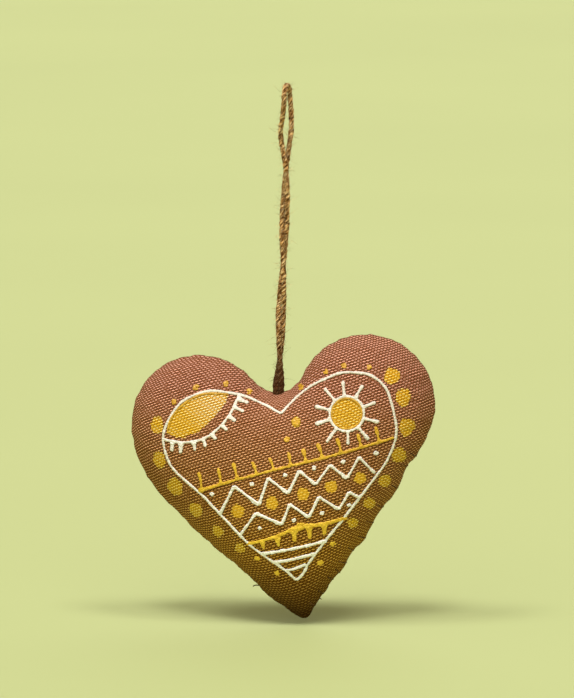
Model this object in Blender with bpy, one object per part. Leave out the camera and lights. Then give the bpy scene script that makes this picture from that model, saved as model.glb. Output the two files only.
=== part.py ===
# Fabric heart ornament: a stuffed cloth heart that hangs from a loop of jute twine.
# Metres, +Z up. The heart's front faces -Y, and +X is to the right as it is seen from the front.
# The origin is the inside of the loop's top, where whatever holds the ornament up carries it.

from math import atan2, ceil, cos, pi, radians, sin, sqrt

import bmesh
import bpy
import numpy as np

# Heart, in its own plane: the lobes' centres lie on its level line, and the tip is below
LOBE_SPACING = 0.0614
LOBE_RADIUS = 0.0255
TIP_DROP = 0.0750
TIP_SHIFT = -0.0019
TIP_RADIUS = 0.0026
RIGHT_FLANK_RADIUS = 0.900
LEFT_FLANK_RADIUS = 0.195
CLEFT_RADIUS = 0.0105
HEART_TILT = radians(7.9)

# Stuffing: the heart's thickness where it is fullest, and how thin its edge is (0.5 is round, 1 sharp)
HEART_THICKNESS = 0.040
EDGE_THINNESS = 0.45
FULLEST_POINT_DROP = 0.010

# How finely the cover is divided
RINGS = 11
OUTLINE_STEP = 0.0032
TIP_STEP = 0.0012

# Twine: its two legs go into a pocket in the seam at the bottom of the cleft
TWINE_DIAMETER = 0.0018
TWINE_STEP = 0.0045
POCKET_DEPTH = 0.0060
CLEARANCE = 0.0003
ENTRY_SHIFT = 0.0007

# The twine's route in millimetres: up one leg, over the top, and down the other leg.
# The legs turn one and a half times round each other between the open eye and the heart.
TWINE_ROUTE_MM = [
    (-1.95, 0.00, -116.50), (-2.00, 0.00, -108.90), (-2.15, -0.85, -103.80),
    (-2.75, -1.12, -98.60), (-3.15, -0.80, -89.80), (-3.25, 0.00, -81.00), (-2.55, 0.80, -72.20),
    (-1.30, 1.12, -63.40), (-0.35, 0.80, -54.90), (0.20, 0.00, -46.50), (0.30, -0.80, -37.70),
    (-0.35, -1.12, -28.80), (-1.30, -0.85, -24.10), (-2.00, -0.90, -20.40), (-2.15, -1.70, -15.60),
    (-1.50, -2.60, -11.20), (-0.80, -3.60, -6.40), (-0.64, -3.95, -3.10), (-0.46, -2.82, -0.26),
    (0.00, 0.00, 0.90), (0.46, 2.82, -0.26), (0.64, 3.95, -3.10), (0.95, 3.60, -6.40),
    (1.30, 2.60, -11.20), (1.35, 1.60, -15.60), (0.90, 0.90, -20.40), (0.40, 0.95, -24.10),
    (-0.35, 1.12, -28.80), (-1.30, 0.80, -37.70), (-1.95, 0.00, -46.50), (-1.90, -0.80, -54.90),
    (-1.30, -1.12, -63.40), (-0.95, -0.80, -72.20), (-1.10, 0.00, -81.00), (-1.55, 0.80, -89.80),
    (-2.75, 1.12, -98.60), (-3.65, 0.85, -103.80), (-4.60, 0.00, -108.90), (-4.65, 0.00, -116.50),
]
MILLIMETRE = 0.001


def clear_scene():
    for old in list(bpy.data.objects):
        bpy.data.objects.remove(old, do_unlink=True)


def make_material(name, colour, roughness):
    material = bpy.data.materials.new(name)
    material.use_nodes = True
    shader = material.node_tree.nodes["Principled BSDF"]
    shader.inputs["Base Color"].default_value = (*colour, 1.0)
    shader.inputs["Roughness"].default_value = roughness
    shader.inputs["Metallic"].default_value = 0.0
    material.diffuse_color = (*colour, 1.0)
    return material


def point_on(centre, radius, angle):
    return np.array([centre[0] + radius * cos(angle), centre[1] + radius * sin(angle)])


def arc(centre, radius, start, end, step):
    # Points from the arc's start up to, but not including, its end
    count = max(2, ceil(abs(end - start) * radius / step))
    return [point_on(centre, radius, start + (end - start) * i / count) for i in range(count)]


def flank_centre(lobe, tip, flank_radius):
    # The large circle of the flank holds the lobe's circle and the tip's, and touches both
    to_lobe = flank_radius - LOBE_RADIUS
    to_tip = flank_radius - TIP_RADIUS
    span = np.linalg.norm(lobe - tip)
    along = (lobe - tip) / span
    across = np.array([-along[1], along[0]])
    reach = (span ** 2 + to_tip ** 2 - to_lobe ** 2) / (2 * span)
    return tip + along * reach + across * sqrt(to_tip ** 2 - reach ** 2)


def cleft_centre():
    # The small circle of the cleft's bottom touches both lobes from outside
    return np.array([0.0, sqrt((LOBE_RADIUS + CLEFT_RADIUS) ** 2 - (LOBE_SPACING / 2) ** 2)])


def half_outline(side, flank_radius):
    # From the bottom of the cleft round one lobe to the tip, worked out for the right side
    cleft = cleft_centre()
    lobe = np.array([LOBE_SPACING / 2, 0.0])
    tip = np.array([side * TIP_SHIFT, TIP_RADIUS - TIP_DROP])
    flank = flank_centre(lobe, tip, flank_radius)
    cleft_angle = atan2(*(cleft - lobe)[::-1])
    lobe_angle = atan2(*(lobe - flank)[::-1])
    tip_angle = atan2(*(tip - flank)[::-1])
    points = arc(cleft, CLEFT_RADIUS, -pi / 2, cleft_angle - pi, OUTLINE_STEP)
    points += arc(lobe, LOBE_RADIUS, cleft_angle, lobe_angle, OUTLINE_STEP)
    points += arc(flank, flank_radius, lobe_angle, tip_angle, OUTLINE_STEP)
    points += arc(tip, TIP_RADIUS, tip_angle, -pi / 2, TIP_STEP)
    points.append(point_on(tip, TIP_RADIUS, -pi / 2))
    return [point * (side, 1) for point in points]


def heart_outline():
    # The seam line: down the right side, then up the left side
    right = half_outline(1, RIGHT_FLANK_RADIUS)
    left = half_outline(-1, LEFT_FLANK_RADIUS)
    return right + left[-2:0:-1]


def cover_grid(outline):
    # Rings from the middle of a panel out to the seam, closest together at the seam
    centre = np.array([0.0, -FULLEST_POINT_DROP])
    count = len(outline)
    points = [centre]
    for ring in range(1, RINGS + 1):
        share = sin(ring / RINGS * pi / 2)
        points += [centre + (point - centre) * share for point in outline]
    faces = [(0, 1 + i, 1 + (i + 1) % count) for i in range(count)]
    for first in range(1, 1 + (RINGS - 1) * count, count):
        for i in range(count):
            j = (i + 1) % count
            faces.append((first + i, first + count + i, first + count + j, first + j))
    return np.array(points), faces


def cover_heights(points, faces, rim_count):
    # A skin held at the seam and pressed out evenly: its linear triangles give the bulge
    triangles = np.array([(f[0], f[i], f[i + 1]) for f in faces for i in range(1, len(f) - 1)])
    corners = points[triangles]
    edges = [corners[:, (i + 2) % 3] - corners[:, (i + 1) % 3] for i in range(3)]
    areas = 0.5 * np.abs(edges[0][:, 0] * edges[1][:, 1] - edges[0][:, 1] * edges[1][:, 0])
    total = len(points)
    stiffness = np.zeros((total, total))
    load = np.zeros(total)
    for i in range(3):
        np.add.at(load, triangles[:, i], areas / 3)
        for j in range(3):
            pull = (edges[i] * edges[j]).sum(axis=1) / (4 * areas)
            np.add.at(stiffness, (triangles[:, i], triangles[:, j]), pull)
    free = total - rim_count
    bulge = np.zeros(total)
    bulge[:free] = np.linalg.solve(stiffness[:free, :free], load[:free])
    return HEART_THICKNESS / 2 * (bulge / bulge.max()) ** EDGE_THINNESS


def build_heart(material, location):
    outline = heart_outline()
    points, faces = cover_grid(outline)
    heights = cover_heights(points, faces, len(outline))
    seam_first = len(points) - len(outline)

    mesh = bpy.data.meshes.new("heart")
    work = bmesh.new()
    front = [work.verts.new((x, -height, z)) for (x, z), height in zip(points, heights)]
    back = [work.verts.new((x, height, z)) for (x, z), height in zip(points[:seam_first], heights)]
    back += front[seam_first:]
    for face in faces:
        work.faces.new([front[i] for i in face])
        work.faces.new([back[i] for i in reversed(face)])
    bmesh.ops.recalc_face_normals(work, faces=work.faces)
    work.to_mesh(mesh)
    work.free()
    mesh.materials.append(material)
    mesh.shade_smooth()

    heart = bpy.data.objects.new("heart", mesh)
    bpy.context.collection.objects.link(heart)
    heart.rotation_euler = (0.0, -HEART_TILT, 0.0)
    heart.location = location
    return heart


def cut_pocket(heart, centre, legs_spacing):
    # A slot in the seam that takes both legs side by side
    bpy.ops.mesh.primitive_cube_add(size=1.0, location=centre)
    cutter = bpy.context.object
    cutter.name = "pocket_cutter"
    width = legs_spacing + TWINE_DIAMETER + 2 * CLEARANCE
    depth = TWINE_DIAMETER + 2 * CLEARANCE
    cutter.scale = (width, depth, 2 * POCKET_DEPTH)
    cutter.hide_render = True
    cutter.display_type = "WIRE"
    cut = heart.modifiers.new("pocket", "BOOLEAN")
    cut.operation = "DIFFERENCE"
    cut.solver = "EXACT"
    cut.object = cutter


def smooth_route(route, step):
    # Points of a smooth curve that passes through every point of the route
    points = [np.array(point) for point in route]
    padded = [2 * points[0] - points[1]] + points + [2 * points[-1] - points[-2]]
    curve = []
    for before, start, end, after in zip(padded, padded[1:], padded[2:], padded[3:]):
        count = max(2, round(np.linalg.norm(end - start) / step))
        for i in range(count):
            t = i / count
            curve.append(0.5 * (
                2 * start + (end - before) * t
                + (2 * before - 5 * start + 4 * end - after) * t ** 2
                + (3 * start - before - 3 * end + after) * t ** 3
            ))
    return curve + [points[-1]]


def build_twine(material, route):
    points = smooth_route(route, TWINE_STEP)
    curve = bpy.data.curves.new("hanging_twine", "CURVE")
    curve.dimensions = "3D"
    curve.bevel_depth = TWINE_DIAMETER / 2
    curve.bevel_resolution = 2
    curve.use_fill_caps = True
    spline = curve.splines.new("POLY")
    spline.points.add(len(points) - 1)
    for target, point in zip(spline.points, points):
        target.co = (*point, 1.0)
    spline.use_smooth = True
    curve.materials.append(material)
    twine = bpy.data.objects.new("hanging_twine", curve)
    bpy.context.collection.objects.link(twine)
    return twine


def cleft_bottom():
    # The lowest point of the cleft as the heart hangs, from the middle of the heart's frame
    x, z = cleft_centre()
    turned = np.array([x * cos(HEART_TILT) - z * sin(HEART_TILT), x * sin(HEART_TILT) + z * cos(HEART_TILT)])
    return turned - (0.0, CLEFT_RADIUS)


def main():
    clear_scene()
    cloth = make_material("brown_linen", (0.26, 0.13, 0.07), 0.9)
    jute = make_material("jute", (0.27, 0.15, 0.06), 0.95)

    # The heart hangs with its pocket's floor just under the twine's two ends
    route = [tuple(value * MILLIMETRE for value in point) for point in TWINE_ROUTE_MM]
    legs_centre_x = (route[0][0] + route[-1][0]) / 2
    legs_spacing = abs(route[0][0] - route[-1][0])
    cleft_z = min(route[0][2], route[-1][2]) - CLEARANCE + POCKET_DEPTH
    down_x, down_z = cleft_bottom()
    heart = build_heart(cloth, (legs_centre_x - ENTRY_SHIFT - down_x, 0.0, cleft_z - down_z))
    cut_pocket(heart, (legs_centre_x, 0.0, cleft_z), legs_spacing)
    build_twine(jute, route)


main()
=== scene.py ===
import math
import random

import bmesh
import bpy
import numpy as np
from mathutils import Matrix, Vector, geometry, noise
from mathutils.bvhtree import BVHTree


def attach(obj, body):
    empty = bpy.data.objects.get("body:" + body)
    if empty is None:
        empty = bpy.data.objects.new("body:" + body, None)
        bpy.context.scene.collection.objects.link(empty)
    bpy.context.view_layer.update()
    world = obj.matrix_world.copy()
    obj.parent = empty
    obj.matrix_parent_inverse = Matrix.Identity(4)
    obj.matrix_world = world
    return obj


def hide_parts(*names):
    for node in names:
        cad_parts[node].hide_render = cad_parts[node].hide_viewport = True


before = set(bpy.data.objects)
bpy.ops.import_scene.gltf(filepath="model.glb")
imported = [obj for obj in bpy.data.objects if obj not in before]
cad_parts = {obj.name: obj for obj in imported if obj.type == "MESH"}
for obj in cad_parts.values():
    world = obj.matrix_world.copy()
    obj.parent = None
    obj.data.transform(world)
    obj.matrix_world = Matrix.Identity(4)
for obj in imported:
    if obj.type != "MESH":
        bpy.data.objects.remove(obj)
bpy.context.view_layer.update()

mm = 0.001

# camera at the photograph's viewing angle; the picture is 574 x 698, so the lens covers its height
cameraSet = {"azimuth": 6.0, "elevation": 7.5, "distance": 2.118, "lens": 300.0, "aim": (0.0, 0.0, -0.0953)}


def placeCamera(values):
    turn = math.radians(values["azimuth"])
    rise = math.radians(values["elevation"])
    aim = Vector(values["aim"])
    away = Vector((math.sin(turn) * math.cos(rise), -math.cos(turn) * math.cos(rise), math.sin(rise)))
    lens = bpy.data.cameras.new("camera")
    lens.lens = values["lens"]
    camera = bpy.data.objects.new("camera", lens)
    camera.location = aim + away * values["distance"]
    camera.rotation_euler = away.to_track_quat("Z", "Y").to_euler()
    bpy.context.collection.objects.link(camera)
    bpy.context.scene.camera = camera
    print("camera placed")


placeCamera(cameraSet)


# small helpers for nodes

def addNode(tree, kind, values=None, **settings):
    node = tree.nodes.new(kind)
    for name, value in settings.items():
        setattr(node, name, value)
    for name, value in (values or {}).items():
        if isinstance(value, bpy.types.NodeSocket):
            tree.links.new(value, node.inputs[name])
        else:
            node.inputs[name].default_value = value
    return node


def useGroup(tree, group, values):
    return addNode(tree, "ShaderNodeGroup", values, node_tree=group)


def calc(tree, operation, first, second=0.0, third=0.0, clamp=False):
    values = {0: first, 1: second, 2: third}
    return addNode(tree, "ShaderNodeMath", values, operation=operation, use_clamp=clamp).outputs[0]


def spread(tree, value, low, high, outLow=0.0, outHigh=1.0):
    # outLow up to low, outHigh from high on, and evenly between the two
    values = {"Value": value, "From Min": low, "From Max": high, "To Min": outLow, "To Max": outHigh}
    return addNode(tree, "ShaderNodeMapRange", values, clamp=True).outputs["Result"]


def mixColour(tree, factor, first, second):
    first, second = (c if isinstance(c, bpy.types.NodeSocket) else (*c, 1.0) for c in (first, second))
    return addNode(tree, "ShaderNodeMix", {0: factor, 6: first, 7: second}, data_type="RGBA").outputs[2]


def objectPlace(tree):
    # where a point lies on the ornament, whole and split into x, y and height
    place = addNode(tree, "ShaderNodeTexCoord").outputs["Object"]
    return place, addNode(tree, "ShaderNodeSeparateXYZ", {0: place}).outputs


def addRelief(tree, shader, strength, depth, height):
    bump = addNode(tree, "ShaderNodeBump", {"Strength": strength, "Distance": depth, "Height": height})
    tree.links.new(bump.outputs[0], shader.inputs["Normal"])


def setFinish(shader, **values):
    # plain values on the shader's own sockets
    for name, value in values.items():
        shader.inputs[finishSockets[name]].default_value = value


finishSockets = {"specular": "Specular IOR Level", "sheen": "Sheen Weight", "sheenRoughness": "Sheen Roughness",
                 "sheenTint": "Sheen Tint"}


def newMaterial(name, roughness):
    material = bpy.data.materials.new(name)
    material.use_nodes = True
    shader = material.node_tree.nodes["Principled BSDF"]
    shader.inputs["Roughness"].default_value = roughness
    return material, material.node_tree, shader


def newGroup(name, inputs, outputs):
    group = bpy.data.node_groups.new(name, "ShaderNodeTree")
    for socketName, kind, value in inputs:
        socket = group.interface.new_socket(socketName, in_out="INPUT", socket_type=kind)
        if value is not None:
            socket.default_value = value
    for socketName, kind in outputs:
        group.interface.new_socket(socketName, in_out="OUTPUT", socket_type=kind)
    return group, group.nodes.new("NodeGroupInput"), group.nodes.new("NodeGroupOutput")


# fibre shade: streaks and specks that follow a thread's own UV (along, around), in metres
def makeFibreGroup():
    group, given, out = newGroup("fibreStreaks", [
        ("Along", "NodeSocketFloat", 0.0), ("Around", "NodeSocketFloat", 0.0),
        ("Stretch", "NodeSocketFloat", 0.2), ("Scale", "NodeSocketFloat", 9000.0)],
        [("Streak", "NodeSocketFloat"), ("Fleck", "NodeSocketFloat"), ("Blotch", "NodeSocketFloat")])
    stretched = calc(group, "MULTIPLY", given.outputs["Along"], given.outputs["Stretch"])
    place = addNode(group, "ShaderNodeCombineXYZ", {"X": stretched, "Y": given.outputs["Around"]}).outputs[0]
    streak = addNode(group, "ShaderNodeTexNoise", {"Vector": place, "Scale": given.outputs["Scale"],
                                                   "Detail": 3.0, "Roughness": 0.6})
    # coarser flecks, where bundles of fibres come to the top or sink
    wider = addNode(group, "ShaderNodeCombineXYZ", {
        "X": calc(group, "MULTIPLY", given.outputs["Along"], 0.42), "Y": given.outputs["Around"]}).outputs[0]
    fleck = addNode(group, "ShaderNodeTexNoise", {
        "Vector": wider, "Scale": calc(group, "MULTIPLY", given.outputs["Scale"], 0.20), "Detail": 2.0})
    alongOnly = addNode(group, "ShaderNodeCombineXYZ", {"X": given.outputs["Along"]}).outputs[0]
    blotch = addNode(group, "ShaderNodeTexNoise", {"Vector": alongOnly, "Scale": 220.0, "Detail": 2.0})
    group.links.new(spread(group, streak.outputs[0], 0.35, 0.68), out.inputs["Streak"])
    group.links.new(spread(group, fleck.outputs[0], 0.42, 0.58), out.inputs["Fleck"])
    group.links.new(spread(group, blotch.outputs[0], 0.38, 0.62), out.inputs["Blotch"])
    return group


fibreGroup = makeFibreGroup()


def meshPiece(name, points, faces):
    mesh = bpy.data.meshes.new(name)
    mesh.from_pydata([tuple(map(float, p)) for p in points], [], [tuple(map(int, f)) for f in faces])
    mesh.update()
    piece = bpy.data.objects.new(name, mesh)
    bpy.context.collection.objects.link(piece)
    mesh.shade_smooth()
    return piece


def readVertices(piece, what="co"):
    values = np.empty(len(piece.data.vertices) * 3)
    piece.data.vertices.foreach_get(what, values)
    return values.reshape(-1, 3)


def surfaceTree(piece):
    faces = [tuple(face.vertices) for face in piece.data.polygons]
    return BVHTree.FromPolygons([tuple(p) for p in readVertices(piece)], faces)


def selectOnly(piece):
    bpy.ops.object.select_all(action="DESELECT")
    piece.select_set(True)
    bpy.context.view_layer.objects.active = piece


def applyModifier(piece, name):
    selectOnly(piece)
    bpy.ops.object.modifier_apply(modifier=name)


def curveThrough(points, steps, closed=False):
    # smooth curve through the given points, each passed exactly
    p = np.asarray(points, float)
    count = len(p)
    line = []
    for i in range(count if closed else count - 1):
        if closed:
            a, b, c, d = p[i - 1], p[i], p[(i + 1) % count], p[(i + 2) % count]
        else:
            a, b, c, d = p[max(i - 1, 0)], p[i], p[i + 1], p[min(i + 2, count - 1)]
        for t in np.arange(steps) / steps:
            line.append(0.5 * (2 * b + (c - a) * t + (2 * a - 5 * b + 4 * c - d) * t * t
                               + (3 * b - a - 3 * c + d) * t ** 3))
    if not closed:
        line.append(p[-1])
    return np.array(line)


def evenSteps(line, spacing, closed=False):
    # the same line again, with points at even distances
    p = np.vstack([line, line[:1]]) if closed else np.asarray(line)
    along = np.concatenate([[0.0], np.cumsum(np.linalg.norm(np.diff(p, axis=0), axis=1))])
    count = max(int(round(along[-1] / spacing)), 2)
    at = np.arange(count if closed else count + 1) * along[-1] / count
    return np.stack([np.interp(at, along, p[:, k]) for k in range(p.shape[1])], 1), at


# hanging twine: one jute strand that leaves the cleft, forms the loop and returns, its legs twisted together
twineSet = {"diameter": 1.8 * mm, "plyTurn": 5.2 * mm, "ringStep": 0.34 * mm, "ringPoints": 18,
            "strays": 1000, "strayWidth": 0.095 * mm, "strayRoot": 0.40, "wisps": 560, "wispWidth": 0.20 * mm,
            "fibresEnd": {"strays": -0.110, "wisps": -0.113}, "baseSwell": 0.30, "swellTop": -0.098,
            "swellRun": 0.008, "seed": 11, "colourDark": (0.048, 0.013, 0.0025), "colour": (0.82, 0.355, 0.082),
            "colourPale": (1.0, 0.79, 0.43), "colourBase": (0.042, 0.011, 0.002), "baseTone": 0.95}
# the strand's cut as shares of its radius: the two plies' lobes, fibre ridges, bumps and slubs
strandShape = {"core": 0.78, "lobe": 0.26, "lobePower": 0.9, "fibre": 0.05, "bump": 0.20, "slub": 0.16}
strayLengths = (0.9, 1.3, 1.8, 2.4, 3.3, 4.4)
wispTones = {"colourDark": (0.12, 0.042, 0.010), "colour": (0.86, 0.41, 0.12), "colourPale": (1.0, 0.85, 0.54),
             "colourBase": (0.15, 0.050, 0.012), "baseTone": 0.62}
twineRouteMm = [
    (-2.15, 0.00, -116.50), (-2.15, 0.00, -108.90), (-2.25, -0.62, -103.80), (-2.55, -0.86, -98.60),
    (-3.01, -0.66, -89.80), (-3.08, 0.00, -81.00), (-2.41, 0.66, -72.20), (-1.30, 0.92, -63.40),
    (-0.49, 0.66, -54.90), (0.03, 0.00, -46.50), (0.16, -0.66, -37.70), (-0.35, -0.92, -28.80),
    (-1.15, -0.78, -24.10), (-1.85, -0.85, -20.40), (-2.15, -1.70, -15.60), (-1.50, -2.60, -11.20),
    (-0.80, -3.60, -6.40), (-0.64, -3.95, -3.10), (-0.46, -2.82, -0.26), (0.00, 0.00, 0.90),
    (0.46, 2.82, -0.26), (0.64, 3.95, -3.10), (0.95, 3.60, -6.40), (1.30, 2.60, -11.20),
    (1.35, 1.60, -15.60), (0.80, 0.85, -20.40), (0.25, 0.82, -24.10), (-0.35, 0.92, -28.80),
    (-1.16, 0.66, -37.70), (-1.78, 0.00, -46.50), (-1.76, -0.66, -54.90), (-1.30, -0.92, -63.40),
    (-1.09, -0.66, -72.20), (-1.27, 0.00, -81.00), (-1.69, 0.66, -89.80), (-2.60, 0.86, -98.60),
    (-3.35, 0.62, -103.80), (-3.98, 0.00, -108.90), (-4.00, 0.00, -116.50)]


def frameAlong(line):
    # tangent and two steady side directions at each point of a line
    line = np.asarray(line)
    tangents = np.gradient(line, axis=0)
    tangents /= np.linalg.norm(tangents, axis=1)[:, None]
    side = np.cross(tangents[0], (0.0, 1.0, 0.0))
    sides = []
    for tangent in tangents:
        side = side - tangent * side.dot(tangent)
        side /= np.linalg.norm(side)
        sides.append(side.copy())
    sides = np.array(sides)
    return tangents, sides, np.cross(tangents, sides)


def swellAt(values, height):
    # the strand grows thicker where it goes into the cleft
    return values["baseSwell"] * min(max((values["swellTop"] - height) / values["swellRun"], 0.0), 1.0)


def makeTwine(values):
    centre, along = evenSteps(curveThrough(np.array(twineRouteMm) * mm, 12), values["ringStep"])
    tangents, sides, others = frameAlong(centre)
    radius = values["diameter"] / 2
    count = values["ringPoints"]
    points = []
    for i, point in enumerate(centre):
        turn = 2 * math.pi * along[i] / values["plyTurn"]
        for k in range(count):
            angle = 2 * math.pi * k / count
            lobe = strandShape["core"] + strandShape["lobe"] * abs(math.cos(angle - turn)) ** strandShape["lobePower"]
            fibre = strandShape["fibre"] * math.sin(7 * (angle - turn) + 3 * math.sin(along[i] * 900))
            bumpPlace = Vector((along[i] * 700, math.cos(angle) * 1.3, math.sin(angle) * 1.3))
            bump = strandShape["bump"] * noise.noise(bumpPlace)
            slub = strandShape["slub"] * noise.noise(Vector((along[i] * 160, 3.0, 7.0)))
            reach = radius * (lobe + fibre + bump + slub + swellAt(values, point[2]))
            points.append(point + (sides[i] * math.cos(angle) + others[i] * math.sin(angle)) * reach)
    faces = []
    for i in range(len(centre) - 1):
        for k in range(count):
            n = (k + 1) % count
            faces.append((i * count + k, i * count + n, (i + 1) * count + n, (i + 1) * count + k))
    faces.append(tuple(range(count))[::-1])
    faces.append(tuple((len(centre) - 1) * count + k for k in range(count)))
    twine = meshPiece("jute_twine", points, faces)
    layer = twine.data.uv_layers.new(name="strand")
    around = 2 * math.pi * radius / count
    for face in twine.data.polygons:
        for k, corner in enumerate(face.loop_indices):
            ring, place = divmod(face.vertices[k], count)
            if place == 0 and len(face.vertices) == 4 and max(v % count for v in face.vertices) == count - 1:
                place = count
            turn = along[ring] / values["plyTurn"] * 2 * math.pi * radius
            layer.data[corner].uv = (along[ring], place * around - turn)
    return twine, centre, along, sides, others


def makeTubes(name, tubes, sides):
    # thin closed tubes, each a line, its radii and the place where its UV map "strand" starts
    points, faces, uvs = [], [], []
    for line, radii, offset in tubes:
        line = np.array([tuple(p) for p in line], float)
        tangents = np.gradient(line, axis=0)
        tangents /= np.maximum(np.linalg.norm(tangents, axis=1), 1e-12)[:, None]
        across = np.cross(tangents, (0.31, 0.17, 0.93))
        across /= np.maximum(np.linalg.norm(across, axis=1), 1e-9)[:, None]
        upright = np.cross(tangents, across)
        along = offset + np.concatenate([[0.0], np.cumsum(np.linalg.norm(np.diff(line, axis=0), axis=1))])
        first = len(points)
        for spot, a, b, radius in zip(line, across, upright, radii):
            for k in range(sides):
                angle = 2 * math.pi * k / sides
                points.append(spot + (a * math.cos(angle) + b * math.sin(angle)) * radius)
        part = 2 * math.pi * max(radii) / sides
        for i in range(len(line) - 1):
            ring = first + i * sides
            for k in range(sides):
                n = (k + 1) % sides
                faces.append((ring + k, ring + n, ring + sides + n, ring + sides + k))
                uvs += [(along[i], k * part), (along[i], (k + 1) * part),
                        (along[i + 1], (k + 1) * part), (along[i + 1], k * part)]
        last = first + (len(line) - 1) * sides
        faces.append(tuple(first + k for k in range(sides))[::-1])
        faces.append(tuple(last + k for k in range(sides)))
        uvs += [(along[0], 0.0)] * sides + [(along[-1], 0.0)] * sides
    piece = meshPiece(name, points, faces)
    layer = piece.data.uv_layers.new(name="strand")
    layer.data.foreach_set("uv", np.array(uvs, float).ravel())
    return piece


def strayHair(root, out, lean, length, width, segments, dice):
    # one loose hair: it leaves its root and curls back along a bent path, tapering
    side = out.cross(lean).normalized()
    bend = dice.uniform(-0.9, 0.9)
    curl = dice.uniform(0.2, 1.1)
    here = root.copy()
    direction = (out * dice.uniform(0.5, 1.0) + lean * dice.uniform(-1.0, 1.0)).normalized()
    line = [here]
    for s in range(segments):
        here = here + direction * (length / segments)
        line.append(here)
        direction = (direction + side * bend * 0.35 - out * curl * 0.28 * s / segments
                     + lean * dice.uniform(-0.25, 0.25)).normalized()
    radii = [width / 2 * (1.0 - 0.75 * s / segments) for s in range(segments + 1)]
    return line, radii, dice.uniform(0.0, 1.0)


def makeTwineFibres(values, centre, along, sides, others):
    dice = random.Random(values["seed"])
    tangents = np.gradient(centre, axis=0)
    strays, wisps = [], []
    for _ in range(values["strays"]):
        i = dice.randrange(6, len(centre) - 6)
        if centre[i][2] < values["fibresEnd"]["strays"]:
            continue
        angle = dice.uniform(0, 2 * math.pi)
        out = Vector(sides[i] * math.cos(angle) + others[i] * math.sin(angle))
        lean = Vector(tangents[i]).normalized()
        root = Vector(centre[i]) + out * values["diameter"] * values["strayRoot"]
        length = dice.choice(strayLengths) * mm * dice.uniform(0.7, 1.2)
        strays.append(strayHair(root, out, lean, length, values["strayWidth"], 6, dice))
    # wisps lie on the strand and wind round it with its twist
    for _ in range(values["wisps"]):
        steps = dice.randrange(9, 24)
        i = dice.randrange(4, len(centre) - steps - 4)
        if min(centre[i][2], centre[i + steps][2]) < values["fibresEnd"]["wisps"]:
            continue
        angle = dice.uniform(0, 2 * math.pi)
        rate = 2 * math.pi / values["plyTurn"] * dice.uniform(0.45, 1.25)
        proud = dice.uniform(0.03, 0.26)
        line, radii = [], []
        for s in range(0, steps + 1, 2):
            t = s / steps
            turn = angle + rate * (along[i + s] - along[i])
            swell = swellAt(values, centre[i + s][2])
            reach = values["diameter"] / 2 * (0.84 + swell + proud * math.sin(math.pi * t) ** 0.5)
            line.append(centre[i + s] + (sides[i + s] * math.cos(turn) + others[i + s] * math.sin(turn)) * reach)
            taper = 0.45 + 0.55 * math.sin(math.pi * t)
            radii.append(values["wispWidth"] / 2 * dice.uniform(0.7, 1.1) * taper)
        wisps.append((line, radii, dice.uniform(0.0, 1.0)))
    return makeTubes("twine_strays", strays, 3), makeTubes("twine_wisps", wisps, 4)


# what all threads share: their fibres' streaks, the painted shade in the groove between two plies and where the foot
# turns dark
threadLook = {"stretch": 0.18, "scale": 8500.0, "fleckShare": 0.7, "streakShare": 0.3, "groove": 0.80,
              "footSpan": (-0.086, -0.104), "relief": 0.20 * mm}


def makeThreadMaterial(values, name):
    material, tree, shader = newMaterial(name, 0.85)
    strand = addNode(tree, "ShaderNodeUVMap", uv_map="strand").outputs[0]
    split = addNode(tree, "ShaderNodeSeparateXYZ", {0: strand})
    fibre = useGroup(tree, fibreGroup, {"Along": split.outputs[0], "Around": split.outputs[1],
                                        "Stretch": threadLook["stretch"], "Scale": threadLook["scale"]})
    streaks = calc(tree, "MULTIPLY", fibre.outputs["Streak"], threadLook["streakShare"])
    body = calc(tree, "MULTIPLY_ADD", fibre.outputs["Fleck"], threadLook["fleckShare"], streaks)
    body = spread(tree, body, 0.20, 0.80)
    base = mixColour(tree, body, values["colourDark"], values["colour"])
    pale = calc(tree, "MULTIPLY", spread(tree, body, 0.55, 0.95),
                spread(tree, fibre.outputs["Blotch"], 0.0, 1.0, 0.35, 1.0))
    colour = mixColour(tree, pale, base, values["colourPale"])
    if "plyTurn" in values:
        # painted shade: dark in the groove between its two plies
        turn = calc(tree, "DIVIDE", split.outputs[1], values["diameter"] / 2)
        facing = calc(tree, "ABSOLUTE", calc(tree, "COSINE", turn))
        groove = spread(tree, facing, 0.05, 0.42, threadLook["groove"], 0.0)
        colour = mixColour(tree, groove, colour, values["colourDark"])
    if "baseTone" in values:
        # darker where it goes into the cleft
        _, level = objectPlace(tree)
        toBase = spread(tree, level[2], *threadLook["footSpan"], 0.0, values["baseTone"])
        colour = mixColour(tree, toBase, colour, values["colourBase"])
    tree.links.new(colour, shader.inputs["Base Color"])
    addRelief(tree, shader, 0.9, threadLook["relief"], body)
    setFinish(shader, specular=0.08, sheen=0.10, sheenRoughness=0.5, sheenTint=(1.0, 0.75, 0.42, 1.0))
    return material


twine, twineCentre, twineAlong, twineSides, twineOthers = makeTwine(twineSet)
jute = makeThreadMaterial(twineSet, "jute twine")
strays, wisps = makeTwineFibres(twineSet, twineCentre, twineAlong, twineSides, twineOthers)
juteWisps = makeThreadMaterial(wispTones, "jute wisps")
for piece, strandMaterial in ((twine, jute), (strays, jute), (wisps, juteWisps)):
    piece.data.materials.append(strandMaterial)
    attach(piece, "root")
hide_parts("hanging_twine")


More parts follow.
